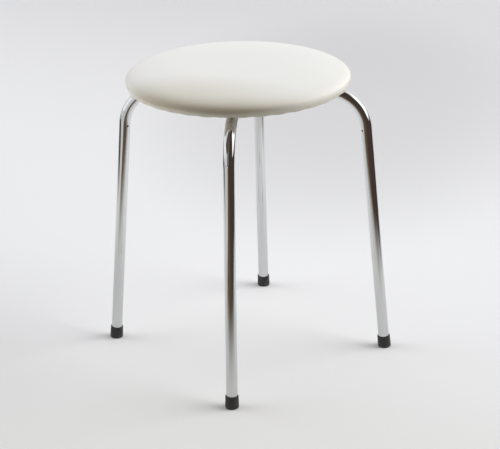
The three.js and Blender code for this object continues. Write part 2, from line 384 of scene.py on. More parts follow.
class Nodes:
    """A material, with short ways to add nodes to it."""

    def __init__(self, name):
        self.material = bpy.data.materials.new(name)
        self.material.use_nodes = True
        self.nodes = self.material.node_tree.nodes
        self.links = self.material.node_tree.links
        self.place = self.nodes.new("ShaderNodeTexCoord").outputs["Object"]

    def put(self, value, socket):
        """Links a value that comes from a node, and sets any other one."""
        if isinstance(value, bpy.types.NodeSocket):
            self.links.new(value, socket)
        else:
            socket.default_value = value

    def node(self, kind, inputs=None, **settings):
        made = self.nodes.new(kind)
        for key, value in settings.items():
            setattr(made, key, value)
        for key, value in (inputs or {}).items():
            self.put(value, made.inputs[key])
        return made

    def axes(self):
        """The X, Y and Z of a place on the surface."""
        return self.node("ShaderNodeSeparateXYZ", {"Vector": self.place}).outputs

    def math(self, operation, first, second=0.0):
        return self.node("ShaderNodeMath", {0: first, 1: second}, operation=operation).outputs["Value"]

    def distance(self, place, other=(0, 0, 0)):
        made = self.node("ShaderNodeVectorMath", {0: place, 1: other}, operation="DISTANCE")
        return made.outputs["Value"]

    def product(self, *values):
        result = values[0]
        for value in values[1:]:
            result = self.math("MULTIPLY", result, value)
        return result

    def ramp(self, value, low, high):
        """Maps a value from 0 to 1 onto the range from low to high."""
        made = self.node("ShaderNodeMapRange", {"Value": value, "To Min": low, "To Max": high})
        return made.outputs["Result"]

    def stepped(self, value, start, end, low=0.0, high=1.0):
        """Maps a value that goes from start to end onto the range from low to high, smoothly."""
        return self.node("ShaderNodeMapRange", {
            "Value": value, "From Min": start, "From Max": end, "To Min": low, "To Max": high,
        }, interpolation_type="SMOOTHSTEP").outputs["Result"]

    def mix(self, share, first, second):
        """A mix of two colours, each one a node's or plain."""
        made = self.node("ShaderNodeMix", {"Factor": share}, data_type="RGBA")
        for key, colour in ((MIX_FIRST, first), (MIX_SECOND, second)):
            plain = isinstance(colour, tuple)
            self.put((*colour, 1) if plain else colour, made.inputs[key])
        return made.outputs[MIX_RESULT]


class Look(Nodes):
    """A node material round one Principled shader."""

    def __init__(self, name, colour, roughness, metallic=0.0):
        super().__init__(name)
        self.shader = self.nodes["Principled BSDF"]
        self.set("Base Color", (*colour, 1))
        self.set("Roughness", roughness)
        self.set("Metallic", metallic)

    def set(self, name, value):
        self.put(value, self.shader.inputs[name])

    def tint(self, share, first, second):
        self.set("Base Color", self.mix(share, first, second))

    def roughen(self, value, low, high):
        self.set("Roughness", self.ramp(value, low, high))

    def stretched(self, scale):
        return self.node("ShaderNodeMapping", {"Vector": self.place, "Scale": scale}).outputs["Vector"]

    def noise(self, scale, detail, place=None, roughness=0.5):
        return self.node("ShaderNodeTexNoise", {
            "Vector": place or self.place, "Scale": scale, "Detail": detail, "Roughness": roughness,
        }).outputs["Fac"]

    def cells(self, scale, feature):
        made = self.node("ShaderNodeTexVoronoi", {"Vector": self.place, "Scale": scale}, feature=feature)
        return made.outputs["Distance"]

    def bump(self, height, strength, depth):
        made = self.node("ShaderNodeBump", {"Height": height, "Strength": strength, "Distance": depth})
        self.set("Normal", made.outputs["Normal"])


def vinyl_look():
    """Off-white upholstery vinyl: a fine leather grain, soft satin, and a little uneven in tone.

    Painted warm shade darkens it towards its lower edge, most at the front, where it is also aged, and
    painted shade darkens it where it turns under.
    """
    pale = (0.845, 0.85, 0.825)
    palest = (0.875, 0.88, 0.86)
    aged_shaded_pale = (0.75, 0.735, 0.665)
    yellow = (0.83, 0.815, 0.765)
    aged_shaded_yellow = (0.57, 0.525, 0.4)
    lower = (0.76, 0.725, 0.61)
    underside_shade = (0.54, 0.48, 0.39)
    look = Look("vinyl", (0.86, 0.855, 0.83), roughness=0.4)
    # The front is aged and carries painted shade
    aged_and_shaded = look.stepped(look.distance(look.stretched(AGED_AND_SHADED_SQUEEZE_SHARES), AGED_AND_SHADED_PLACE), *AGED_AND_SHADED_REACH)
    waver = look.product(look.noise(scale=26, detail=4), WARM_SHADE_WAVER)
    height = look.math("ADD", look.axes()["Z"], waver)

    def past(level, span):
        return look.stepped(height, level + span[0], level + span[1])

    tone = look.mix(look.ramp(look.noise(scale=9, detail=3), low=0.1, high=0.9), pale, palest)
    tone = look.mix(aged_and_shaded, tone, aged_shaded_pale)
    rim = look.mix(aged_and_shaded, yellow, aged_shaded_yellow)
    # Painted warm shade towards the lower edge, and painted shade below the widest line
    tone = look.mix(past(WIDEST_HEIGHT, WARM_SHADE_SPAN), tone, rim)
    tone = look.mix(past(WIDEST_HEIGHT, UNDER_ROLL_SHADE_SPAN), tone, lower)
    # Painted shade where the cover turns under
    look.tint(past(COVER_BOTTOM, UNDERSIDE_SHADE_SPAN), tone, underside_shade)
    pores = look.ramp(look.noise(scale=2600, detail=2), low=0, high=0.25)
    grain = look.math("ADD", look.cells(950, "DISTANCE_TO_EDGE"), pores)
    look.bump(grain, strength=0.12, depth=VINYL_GRAIN)
    look.roughen(look.noise(scale=60, detail=4), low=0.36, high=0.5)
    look.set("Coat Weight", 0.08)
    look.set("Coat Roughness", 0.35)
    look.set("Sheen Weight", 0.14)
    look.set("Sheen Roughness", 0.35)
    return look.material


def chrome_look():
    """Bright chrome plating with a trace of waviness and fine wiping marks, duller towards the floor."""
    grey = (0.73, 0.74, 0.74)
    bright = (0.76, 0.77, 0.77)
    dull = (0.63, 0.64, 0.635)
    look = Look("chrome", (0.74, 0.75, 0.75), roughness=0.045, metallic=1)
    smudge = look.noise(scale=38, detail=5, roughness=0.6)
    look.roughen(smudge, low=0.028, high=0.075)
    plated = look.mix(look.ramp(look.noise(scale=14, detail=2), low=0.2, high=0.8), grey, bright)
    look.tint(look.stepped(look.axes()["Z"], *DULLING_HEIGHTS), plated, dull)
    look.bump(look.noise(scale=70, detail=1), strength=0.025, depth=CHROME_WAVES)
    return look.material


def unplated_and_shaded_look():
    """The unplated inside of a tube: dull, and near black as painted shade inside the tube."""
    dark = (0.035, 0.032, 0.03)
    rusty = (0.085, 0.07, 0.06)
    look = Look("unplated_and_shaded", (0.05, 0.046, 0.044), roughness=0.7, metallic=0.6)
    # The near-black tones are painted shade inside the tube; the stain is rust
    stain = look.noise(scale=120, detail=4)
    look.tint(stain, dark, rusty)
    look.roughen(stain, low=0.55, high=0.8)
    return look.material


def weld_look():
    """Plating over a weld bead: a little duller than the tube."""
    grey = (0.66, 0.66, 0.66)
    bright = (0.8, 0.8, 0.8)
    look = Look("weld", (0.74, 0.75, 0.76), roughness=0.2, metallic=1)
    look.roughen(look.noise(scale=160, detail=5), low=0.14, high=0.32)
    look.tint(look.noise(scale=90, detail=3), grey, bright)
    look.bump(look.noise(scale=700, detail=3), strength=0.2, depth=WELD_GRAIN)
    return look.material


def zinc_look():
    """Dull zinc plating on stamped and turned steel."""
    grey = (0.58, 0.59, 0.57)
    bright = (0.72, 0.73, 0.71)
    look = Look("zinc_steel", (0.66, 0.67, 0.66), roughness=0.4, metallic=1)
    streaks = look.noise(scale=300, detail=4, place=look.stretched((1, 1, 6)))
    look.roughen(streaks, low=0.28, high=0.5)
    look.tint(look.noise(scale=120, detail=3), grey, bright)
    look.bump(streaks, strength=0.08, depth=ZINC_GRAIN)
    return look.material


def rubber_look():
    """Black moulded rubber: matt, finely grained, dusty towards the floor."""
    black = (0.024, 0.022, 0.022)
    dusty = (0.1, 0.095, 0.09)
    look = Look("black_rubber", black, roughness=0.62)
    dust = look.stepped(look.axes()["Z"], *DUST_HEIGHTS, low=DUST_SHARE, high=0)
    patchy = look.product(dust, look.noise(scale=240, detail=4))
    look.tint(patchy, black, dusty)
    look.roughen(look.noise(scale=180, detail=4), low=0.5, high=0.72)
    look.bump(look.noise(scale=1500, detail=3), strength=0.25, depth=RUBBER_GRAIN)
    return look.material


def nylon_look():
    """Black moulded nylon with a fine spark-eroded grain."""
    black = (0.016, 0.016, 0.017)
    grey = (0.03, 0.03, 0.031)
    look = Look("black_nylon", (0.02, 0.02, 0.021), roughness=0.5)
    look.tint(look.noise(scale=200, detail=3), black, grey)
    look.roughen(look.noise(scale=400, detail=3), low=0.42, high=0.6)
    look.bump(look.noise(scale=2200, detail=2), strength=0.2, depth=NYLON_GRAIN)
    return look.material


def plywood_look():
    """Bare birch plywood: long pale grain with darker pores."""
    brown = (0.55, 0.38, 0.21)
    pale = (0.8, 0.64, 0.43)
    dark = (0.4, 0.26, 0.14)
    look = Look("plywood", (0.75, 0.6, 0.4), roughness=0.65)
    figure = look.noise(scale=1.6, detail=6, place=look.stretched((4, 45, 45)), roughness=0.6)
    pores = look.noise(scale=9, detail=5, place=look.stretched((8, 160, 160)), roughness=0.7)
    base = look.mix(figure, brown, pale)
    look.tint(look.stepped(pores, start=0.52, end=0.72, high=0.45), base, dark)
    look.roughen(pores, low=0.55, high=0.8)
    look.bump(pores, strength=0.25, depth=PLYWOOD_GRAIN)
    return look.material


def foam_look():
    """Pale yellow open-cell foam."""
    hollow = (0.66, 0.57, 0.34)
    wall = (0.88, 0.8, 0.56)
    look = Look("foam", (0.84, 0.76, 0.5), roughness=0.95)
    cells = look.cells(700, "F1")
    look.tint(cells, hollow, wall)
    look.bump(cells, strength=0.7, depth=FOAM_CELLS)
    return look.material


# Seat

def seat_profile():
    """The cover's outer line from the crown's middle to the hem's edge, with the length run so far."""
    reach = np.linspace(0, 1, CROWN_STEPS) ** CROWN_CROWDING * SEAT_RADIUS
    crown = WIDEST_HEIGHT + CROWN_RISE * np.sqrt(1 - (reach / SEAT_RADIUS) ** CROWN_FLATNESS)
    angle = np.linspace(0, QUARTER, ROLL_STEPS)[1:]
    roll_reach = SEAT_RADIUS - UNDER_ROLL + UNDER_ROLL * np.cos(angle)
    roll_height = WIDEST_HEIGHT - ROLL_HEIGHT * np.sin(angle)
    radius = np.concatenate([reach, roll_reach, [HEM_REACH]])
    height = np.concatenate([crown, roll_height, [COVER_BOTTOM]])
    run = np.concatenate([[0], np.cumsum(np.hypot(np.diff(radius), np.diff(height)))])
    return run, radius, height


def ring_faces(first, first_count, second, second_count):
    """Faces from a ring or a single point to the next ring: it has as many points, or one more a sector."""
    if first_count == 1:
        return fan(first, second, second_count)
    if first_count == second_count:
        return band(first, second, first_count)
    side = first_count // SEAT_SECTORS
    faces = []
    for sector in range(SEAT_SECTORS):
        for step in range(side + 1):
            near = first + (sector * side + step) % first_count
            here = second + sector * (side + 1) + step
            ahead = second + (sector * (side + 1) + step + 1) % second_count
            faces.append((near, here, ahead))
            if step < side:
                faces.append((near, ahead, first + (sector * side + step + 1) % first_count))
    return faces


def seat_rings():
    """Runs along the profile at which the rings lie, and how many points each has."""
    run, _, _ = seat_profile()
    step = SEAT_RADIUS / SEAT_RINGS
    growing = [step * k for k in range(SEAT_RINGS + 1)]
    rest = run[-1] - growing[-1]
    steps = math.ceil(rest / (RIM_STEP_SHARE * step))
    runs = growing + [growing[-1] + rest * (k + 1) / steps for k in range(steps)]
    counts = [1] + [SEAT_SECTORS * min(k, SEAT_RINGS) for k in range(1, len(runs))]
    return runs, counts


def seat_mesh():
    """Points and faces of the cover's outer skin, a little inside its final place."""
    run, radius, height = seat_profile()
    runs, counts = seat_rings()
    points, faces = [], []
    start_before = 0
    for k, (at, count) in enumerate(zip(runs, counts)):
        start = len(points)
        r = float(np.interp(at, run, radius))
        z = float(np.interp(at, run, height))
        if z > COVER_BOTTOM + START_ROLL_SHARE * ROLL_HEIGHT:
            share = (r / SEAT_RADIUS) ** START_INSET_POWER
            z -= START_INSET * (1 - share)
            r -= START_INSET * share
        points += circle(r, z, count)
        if k:
            faces += ring_faces(start_before, counts[k - 1], start, count)
        start_before = start
    return points, faces


def evened(values, edges, rounds):
    """Evens out the values at a mesh's points with those of their neighbours."""
    count = np.zeros((len(values), 1))
    np.add.at(count, edges.ravel(), 1)
    for _ in range(rounds):
        total = np.zeros_like(values)
        np.add.at(total, edges[:, 0], values[edges[:, 1]])
        np.add.at(total, edges[:, 1], values[edges[:, 0]])
        values = (values + total / count) / 2
    return values


def inflate(cover, rest):
    """Lets the cover swell over its foam with its stapled edge held.

    The cover is drawn tight, so each point's move is capped and evened out with its neighbours' moves.
    """
    held = cover.vertex_groups.new(name="held")
    low = [i for i, p in enumerate(rest) if p[2] < COVER_BOTTOM + CLOTH_HELD_SHARE * ROLL_HEIGHT]
    held.add(low, 1.0, "REPLACE")
    cloth = cover.modifiers.new("cloth", "CLOTH")
    for name, value in CLOTH_SETTINGS.items():
        setattr(cloth.settings, name, value)
    cloth.settings.vertex_group_mass = "held"
    cloth.settings.effector_weights.gravity = 0
    cloth.point_cache.frame_start = 1
    cloth.point_cache.frame_end = CLOTH_FRAMES
    scene = bpy.context.scene
    for number in range(1, CLOTH_FRAMES + 1):
        scene.frame_set(number)
    swollen = evaluated_points(cover)
    cover.modifiers.clear()
    cover.vertex_groups.clear()
    scene.frame_set(1)
    moved = swollen - rest
    length = np.linalg.norm(moved, axis=1, keepdims=True)
    capped = moved * np.minimum(1, CLOTH_CAP / np.maximum(length, TINY))
    edges = np.array([edge.vertices[:] for edge in cover.data.edges])
    return rest + evened(capped, edges, CLOTH_EVENING_ROUNDS)


def gather(points):
    """Pulls the hem and the lower roll into shallow gathers between the staples."""
    draw = random.Random(GATHER_SEED)
    depths = np.array([draw.uniform(*GATHER_DEPTH_SHARES) for _ in range(STAPLES)])
    leans = np.array([draw.uniform(-GATHER_LEAN_SHARE, GATHER_LEAN_SHARE) for _ in range(STAPLES)])
    x, y, z = points.T
    reach = np.hypot(x, y)
    place = (np.arctan2(y, x) / FULL) % 1 * STAPLES
    which = np.floor(place).astype(int) % STAPLES
    inside = place - np.floor(place)
    leaned = np.clip(inside + leans[which] * inside * (1 - inside), 0, 1)
    bulge = depths[which] * np.sin(np.pi * leaned) ** GATHER_ROUNDNESS
    below = np.clip((WIDEST_HEIGHT - z) / ROLL_HEIGHT, 0, 1)
    on_roll = below ** 2 * (reach > SEAT_RADIUS - UNDER_ROLL)
    on_hem = (reach <= SEAT_RADIUS - UNDER_ROLL) & (z < COVER_BOTTOM + HEM_SHARE * ROLL_HEIGHT)
    across = np.minimum(np.abs(y), np.abs(x - SEAT_SHIFT))
    clear = 1 - np.exp(-(across / LEG_PRESS) ** 2)
    out = GATHER_ON_ROLL * (bulge - GATHER_MIDDLE_SHARE) * on_roll / np.maximum(reach, TINY)
    down = GATHER_DEPTH * bulge * clear * (on_hem + on_roll * ROLL_DROP_SHARE)
    return points + np.column_stack([out * x, out * y, -down])


def make_cover(material):
    """The vinyl cover: a skin drawn over the foam, round the rim and in under the board."""
    points, faces = seat_mesh()
    cover = make_object("seat_cover_vinyl", points, faces, material)
    rest = np.array(points)
    shape = inflate(cover, rest)
    move_points(cover, shape)
    cover.modifiers.new("smooth", "SUBSURF").levels = 1
    bake_modifiers(cover)
    move_points(cover, gather(evaluated_points(cover)))
    cover.data.shade_smooth()
    skin = cover.modifiers.new("skin", "SOLIDIFY")
    skin.thickness = COVER_THICKNESS
    skin.offset = -1
    bake_modifiers(cover)
    cover.data.set_sharp_from_angle(angle=math.radians(COVER_SHARP_DEGREES))
    cover.location.x = -SEAT_SHIFT
    finish_piece(cover, ["seat_cover"])
    return shape


def make_foam(material, skin):
    """The foam: it follows the cover's inside and hangs down round the board's edge."""
    _, counts = seat_rings()
    depth = COVER_THICKNESS + 2 * CLEARANCE
    lowest = COVER_BOTTOM + depth
    points, faces = [], []
    start = start_before = before = 0
    for count in counts:
        ring = skin[start:start + count]
        if ring[0][2] < lowest:
            break
        first = len(points)
        for x, y, z in ring:
            reach = math.hypot(x, y)
            side = min(1.0, max(0.0, (reach - BOARD_RADIUS) / (SEAT_RADIUS - BOARD_RADIUS)))
            inward = depth * side / max(reach, TINY)
            points.append((x - x * inward, y - y * inward, max(z - depth * (1 - side), lowest)))
        if before:
            faces += ring_faces(start_before, before, first, count)
        start_before = first
        before = count
        start += count
    for height in (lowest, BOARD_TOP + CLEARANCE):
        first = len(points)
        points += circle(BOARD_RADIUS + CLEARANCE, height, before)
        faces += band(start_before, first, before)
        start_before = first
    faces += fan(len(points), start_before, before)
    points.append((0, 0, BOARD_TOP + CLEARANCE))
    foam = make_object("seat_foam", points, faces, material)
    foam.location.x = -SEAT_SHIFT
    finish_piece(foam, ["foam_pad"])


def make_staples(material):
    """One wire staple between each two gathers, lying along the hem, with its legs up in the board."""
    draw = random.Random(STAPLE_SEED)
    half = STAPLE_CROWN / 2
    inner = half - STAPLE_WIRE
    wire = STAPLE_WIRE / 2
    level = COVER_BOTTOM - wire
    path = [
        (-half, level + STAPLE_LEG), (-half, level + STAPLE_WIRE), (-inner, level),
        (inner, level), (half, level + STAPLE_WIRE), (half, level + STAPLE_LEG),
    ]
    section = circle(1, 0, STAPLE_SIDES)
    points, faces = [], []
    for number in range(STAPLES):
        reach = STAPLE_RADIUS + draw.uniform(-STAPLE_SCATTER, STAPLE_SCATTER)
        skew = draw.uniform(-STAPLE_SKEW, STAPLE_SKEW)
        c, s = math.cos(skew), math.sin(skew)
        staple = []
        for k, (along, height) in enumerate(path):
            before = Vector(path[max(k - 1, 0)])
            after = Vector(path[min(k + 1, len(path) - 1)])
            direction = (after - before).normalized()
            for u, v, _ in section:
                run = along - direction.y * wire * v
                side = wire * STAPLE_WIDTH_SHARE * u
                z = height + direction.x * wire * v
                staple.append((reach + side * c + run * s, run * c - side * s, z))
        firsts = [len(points) + STAPLE_SIDES * k for k in range(len(path))]
        points += [(x - SEAT_SHIFT, y, z) for x, y, z in turned_by(staple, FULL * number / STAPLES)]
        for one, two in zip(firsts, firsts[1:]):
            faces += band(one, two, STAPLE_SIDES)
        faces += [tuple(range(end, end + STAPLE_SIDES)) for end in (firsts[0], firsts[-1])]
    finish_piece(make_object("hem_staples", points, faces, material))


# Legs

def leg_stations():
    """Places along a tube's middle line: (reach, height, out reach, out height), from foot to hub."""
    out = (math.cos(SPLAY), math.sin(SPLAY))
    up = (-math.sin(SPLAY), math.cos(SPLAY))
    centre = (BEND_END_REACH, RUN_HEIGHT - BEND_RADIUS)
    bend_start = (centre[0] + BEND_RADIUS * out[0], centre[1] + BEND_RADIUS * out[1])
    cell = FULL * TUBE_RADIUS / TUBE_SIDES
    straight = math.hypot(bend_start[0] - FOOT_CIRCLE, bend_start[1])
    runs = [TUBE_START] + [share * straight for share in STRAIGHT_SHARES]
    vent_row = len(runs) + VENT_CELLS.index(0)
    runs += [straight - VENT_BELOW_BEND + cell * k for k in VENT_CELLS]
    stations = [(FOOT_CIRCLE + up[0] * s, up[1] * s, *out) for s in runs]
    for k in range(BEND_STEPS + 1):
        angle = SPLAY + TURN * k / BEND_STEPS
        c, s = math.cos(angle), math.sin(angle)
        stations.append((centre[0] + BEND_RADIUS * c, centre[1] + BEND_RADIUS * s, c, s))
    screw_row = len(stations) + SCREW_CELLS.index(0)
    reaches = [SCREW_REACH + cell * k for k in SCREW_CELLS] + [(SCREW_REACH + HUB_FACE) / 2]
    stations += [(reach, RUN_HEIGHT, 0, 1) for reach in reaches]
    return stations, vent_row, screw_row


def at_station(station, out, across, along=0):
    """A point out from a tube's middle line, across the plane of its bend, and along the tube."""
    reach, height, out_reach, out_height = station
    return (reach + out * out_reach - along * out_height, across,
            height + out * out_height + along * out_reach)


def tube_wall(stations, radius, holes):
    """Points of one wall of the tube, row by row; each hole's square of points is drawn into a circle."""
    sides = TUBE_SIDES
    section = circle(radius, 0, sides)
    points = []
    for station in stations:
        points += [at_station(station, out, across) for out, across, _ in section]
    for out, across, _ in section:
        points.append((math.sqrt(HUB_FACE ** 2 - across ** 2), across, RUN_HEIGHT + out))
    for row, column, half, hole_radius in holes:
        c, s = math.cos(FULL * column / sides), math.sin(FULL * column / sides)
        ring = square_ring(half)
        for (rows, columns), (along, sideways, _) in zip(ring, circle(hole_radius, 0, len(ring))):
            depth = math.sqrt(radius ** 2 - sideways ** 2)
            out = depth * c - sideways * s
            across = depth * s + sideways * c
            number = (row + rows) * sides + (column + columns) % sides
            points[number] = at_station(stations[row], out, across, along)
    return points


def square_ring(half):
    """Steps (row, column) round a square of points, from the middle of its far side."""
    side = [(half, k) for k in range(-half, half)]
    ring = []
    for _ in range(4):
        ring += side
        side = [(-column, row) for row, column in side]
    return ring[half:] + ring[:half]


def make_leg(side, angle, plating, inside):
    """A hollow bent tube, bare and painted dark with shade inside, coped to the hub, with screw holes and a
    vent cut through.
    """
    stations, vent_row, screw_row = leg_stations()
    sides = TUBE_SIDES
    inward = sides // 2
    holes = [
        (vent_row, inward + VENT_TURNS[side], VENT_HALF, VENT_RADIUS),
        (screw_row, 0, SCREW_HALF, SCREW_HOLE_RADIUS),
        (screw_row, inward, SCREW_HALF, SCREW_HOLE_RADIUS),
    ]
    outer = tube_wall(stations, TUBE_RADIUS, holes)
    points = outer + tube_wall(stations, TUBE_RADIUS - TUBE_WALL, holes)
    shift = len(outer)
    faces = []
    open_cells = set()
    for row, column, half, _ in holes:
        ring = [(row + rows) * sides + (column + columns) % sides for rows, columns in square_ring(half)]
        for one, two in zip(ring, ring[1:] + ring[:1]):
            faces.append((one, two, shift + two, shift + one))
        for rows in range(-half, half):
            open_cells |= {(row + rows, (column + k) % sides) for k in range(-half, half)}
    for i in range(len(stations)):
        for j in range(sides):
            if (i, j) in open_cells:
                continue
            k = (j + 1) % sides
            cell = (i * sides + j, i * sides + k, (i + 1) * sides + k, (i + 1) * sides + j)
            faces += [cell, tuple(shift + corner for corner in reversed(cell))]
    for end in (0, len(stations) * sides):
        faces += band(end, shift + end, sides)
    tube = make_object(f"leg_tube_{side}", turned_by(points, angle), faces, plating, sharp_degrees=35)
    tube.data.materials.append(inside)
    for face in tube.data.polygons:
        face.material_index = int(min(face.vertices) >= shift)
    finish_piece(tube, [f"leg_{side}"])


def make_hub(material):
    """The hub ring with softened rims."""
    inner = HUB_RADIUS - HUB_WALL + HUB_ROUNDING
    outer = HUB_RADIUS - HUB_ROUNDING
    rise = TUBE_RADIUS + HUB_MARGIN - HUB_ROUNDING
    outline = []
    for k, (reach, up) in enumerate([(inner, -rise), (outer, -rise), (outer, rise), (inner, rise)]):
        start = (k - 2) * QUARTER
        outline += round_corner((reach, RUN_HEIGHT + up), HUB_ROUNDING, start, start + QUARTER)
    points, faces = spun(outline, HUB_SIDES)
    finish_piece(make_object("hub", points, faces, material), ["hub_ring"])


def make_weld(side, angle, material):
    """A rippled bead round the tube's end, ground level with the hub's rims."""
    level = TUBE_RADIUS + HUB_MARGIN
    points = []
    for j in range(WELD_SIDES):
        turn = FULL * j / WELD_SIDES
        ripple = WELD_RIPPLE * abs(math.sin(WELD_RIPPLES * turn / 2))
        section = [(SNUG_RADIUS, 0.0)]
        for tilt in np.linspace(0, QUARTER, WELD_STEPS + 1):
            bulge = WELD_SHOULDER_SHARE + (1 - WELD_SHOULDER_SHARE) * abs(math.cos(2 * tilt))
            section.append((
                SNUG_RADIUS + (WELD_HEIGHT - ripple) * bulge * math.sin(tilt),
                (WELD_LENGTH - ripple) * bulge * math.cos(tilt),
            ))
        for reach, along in section:
            across = reach * math.sin(turn)
            height = max(-level, min(level, reach * math.cos(turn)))
            points.append((math.sqrt(HUB_FACE ** 2 - across ** 2) + along, across, RUN_HEIGHT + height))
    size = len(points) // WELD_SIDES
    faces = []
    for j in range(WELD_SIDES):
        faces += band(j * size, (j + 1) % WELD_SIDES * size, size)
    bead = make_object(f"weld_bead_{side}", turned_by(points, angle), faces, material, sharp_degrees=60)
    finish_piece(bead, [f"hub_weld_{side}"])


def make_foot(side, angle, material):
    """A rubber ferrule: a slightly tapered cup with a rounded bottom edge, worn level with the floor."""
    bottom = SNUG_RADIUS + FOOT_WALL
    top = bottom - FOOT_TAPER
    sink = bottom * math.tan(SPLAY)
    bore = TUBE_RADIUS + FOOT_BORE_GAP
    outline = [(0, -sink), (bottom / 2, -sink)]
    outline += round_corner((bottom - FOOT_EDGE, FOOT_EDGE - sink), FOOT_EDGE, -QUARTER, 0)
    outline += round_corner((top - FOOT_LIP, FOOT_HEIGHT - FOOT_LIP), FOOT_LIP, 0, QUARTER)
    outline += [(bore + FOOT_BORE_EASE, FOOT_HEIGHT), (bore, FOOT_HEIGHT - FOOT_BORE_EASE_DEPTH)]
    outline += [(bore, FOOT_SOLE), (0, FOOT_SOLE)]
    points, faces = spun(outline, FOOT_SIDES)
    c, s = math.cos(SPLAY), math.sin(SPLAY)
    leaned = [(FOOT_CIRCLE + c * x - s * z, y, max(0.0, c * z + s * x)) for x, y, z in points]
    foot = make_object(f"ferrule_{side}", turned_by(leaned, angle), faces, material)
    finish_piece(foot, [f"foot_{side}"])


# Seat screws and saddles

def on_leg(points, angle):
    """Moves points that lie round the Z axis onto a leg's screw, and turns them with the leg."""
    return turned_by([(SCREW_REACH + x, y, z) for x, y, z in points], angle)


def hexagon(corner):
    """The reach of a hexagon's sides, as a function of the angle."""
    sector = FULL / 6
    middle = corner * math.cos(sector / 2)
    return lambda angle: middle / math.cos(angle % sector - sector / 2)


def make_screw(side, angle, material):
    """A pan-head screw with a domed head and a hexagon socket, up through the tube into the board."""
    top = RUN_HEIGHT - SNUG_RADIUS - WASHER_THICKNESS - CLEARANCE
    bottom = top - HEAD_HEIGHT
    tip = top + SCREW_LENGTH
    socket = hexagon(SOCKET_CORNER)
    outline = [(0, bottom + SOCKET_DEPTH + SOCKET_POINT), (socket, bottom + SOCKET_DEPTH)]
    outline += [(socket, bottom + HEAD_EASE), (hexagon(SOCKET_CORNER + HEAD_EASE), bottom)]
    for tilt in np.linspace(QUARTER, 0, CORNER_STEPS + 1):
        reach = HEAD_RADIUS * (1 + math.cos(tilt)) / 2
        outline.append((reach, bottom + HEAD_HEIGHT * (1 - math.sin(tilt)) / 2))
    outline += [(HEAD_RADIUS, top - HEAD_EASE), (HEAD_RADIUS - HEAD_EASE, top), (SCREW_RADIUS, top)]
    outline += [(SCREW_RADIUS, tip - SCREW_TIP), (SCREW_RADIUS - SCREW_TIP, tip), (0, tip)]
    points, faces = spun(outline, SCREW_SIDES)
    screw = make_object(f"screw_{side}", on_leg(points, angle), faces, material, sharp_degrees=30)
    finish_piece(screw, [f"seat_screw_{side}"])


def saddle_mesh(radius, flat, wrap):
    """A disc with a hole, flat on one side and hollowed on the other to hug the tube's crest."""
    facing = math.copysign(1, flat - RUN_HEIGHT)
    hole = SCREW_RADIUS + CLEARANCE
    rings = [(hole, flat), (radius - SADDLE_EASE, flat), (radius, flat - facing * SADDLE_EASE)]
    rings += [(reach, None) for reach in np.linspace(radius, hole, SADDLE_RINGS)]
    points, faces = [], []
    for i, (reach, height) in enumerate(rings):
        for x, y, _ in circle(reach, 0, SADDLE_SIDES):
            hollow = math.sqrt(max(0.0, SNUG_RADIUS ** 2 - y ** 2))
            crest = RUN_HEIGHT + facing * max(hollow, SNUG_RADIUS - wrap)
            points.append((x, y, crest if height is None else height))
        faces += band(i * SADDLE_SIDES, (i + 1) % len(rings) * SADDLE_SIDES, SADDLE_SIDES)
    return points, faces


def make_saddles(side, angle, material):
    """A spacer between tube and board, and a washer between tube and screw head."""
    above = RUN_HEIGHT + SNUG_RADIUS + SPACER_THICKNESS
    below = RUN_HEIGHT - SNUG_RADIUS - WASHER_THICKNESS
    sizes = {"spacer": (SPACER_RADIUS, above, SPACER_WRAP), "washer": (WASHER_RADIUS, below, WASHER_WRAP)}
    for kind, size in sizes.items():
        points, faces = saddle_mesh(*size)
        name = f"tube_{kind}_{side}"
        saddle = make_object(name, on_leg(points, angle), faces, material, sharp_degrees=30)
        finish_piece(saddle, [f"saddle_{kind}_{side}"])


# Studio

# The paper floor: its tones, painted shade among them, and the two places or distances between which each
# one sets in
FLOOR_SIZE = 60
FLOOR_COLOUR = (0.84, 0.85, 0.875)
FLOOR_CLOUD = (0.85, 0.86, 0.88)
FLOOR_FAR_SHADE = (0.67, 0.67, 0.69)
FLOOR_BACK = (0.3, 2.3)
FLOOR_BACK_LEAN_SHARE = 0.6
FLOOR_NEAR = (0.76, 0.765, 0.755)
FLOOR_FRONT = (0.1, -0.55)
FLOOR_SHADE_UNDER_LAMPS = (0.45, 0.45, 0.455)
FLOOR_ASIDE = (0.9, 4.5)
FLOOR_FADE = (6.5, 2.8)
SKY_COLOUR = (0.72, 0.72, 0.73)

# A soft shade on the floor behind the stool
FLOOR_SHADE = (0.5, 0.5, 0.51)
SHADE_PLACE = (0.08, 1.25)
SHADE_SIZE = (0.55, 0.95)
SHADE_SHARE = 0.42

# Dark cards on the floor round the stool: where each edge starts and where the card is full
FRONT_DARK = (0.125, 0.088, 0.058)
CORNER_DARK = (0.068, 0.05, 0.036)
SIDE_DARK = (0.07, 0.043, 0.038)
LEFT_DARK = (0.1, 0.105, 0.12)
FRONT_EDGE = (-0.24, -0.82)
FRONT_TURN = 0.1
FRONT_TURN_SHARE = 0.5
FRONT_END = (-0.74, -0.36)
CORNER_EDGE = (0.05, 0.5)
RIGHT_EDGE = (0.48, 0.88)
LEFT_EDGE = (-0.84, -1.3)
LEFT_END = (-0.6, -0.42)
LEFT_FADE = (-3.0, -2.2)
CARD_LIFT = 1.5 * MM

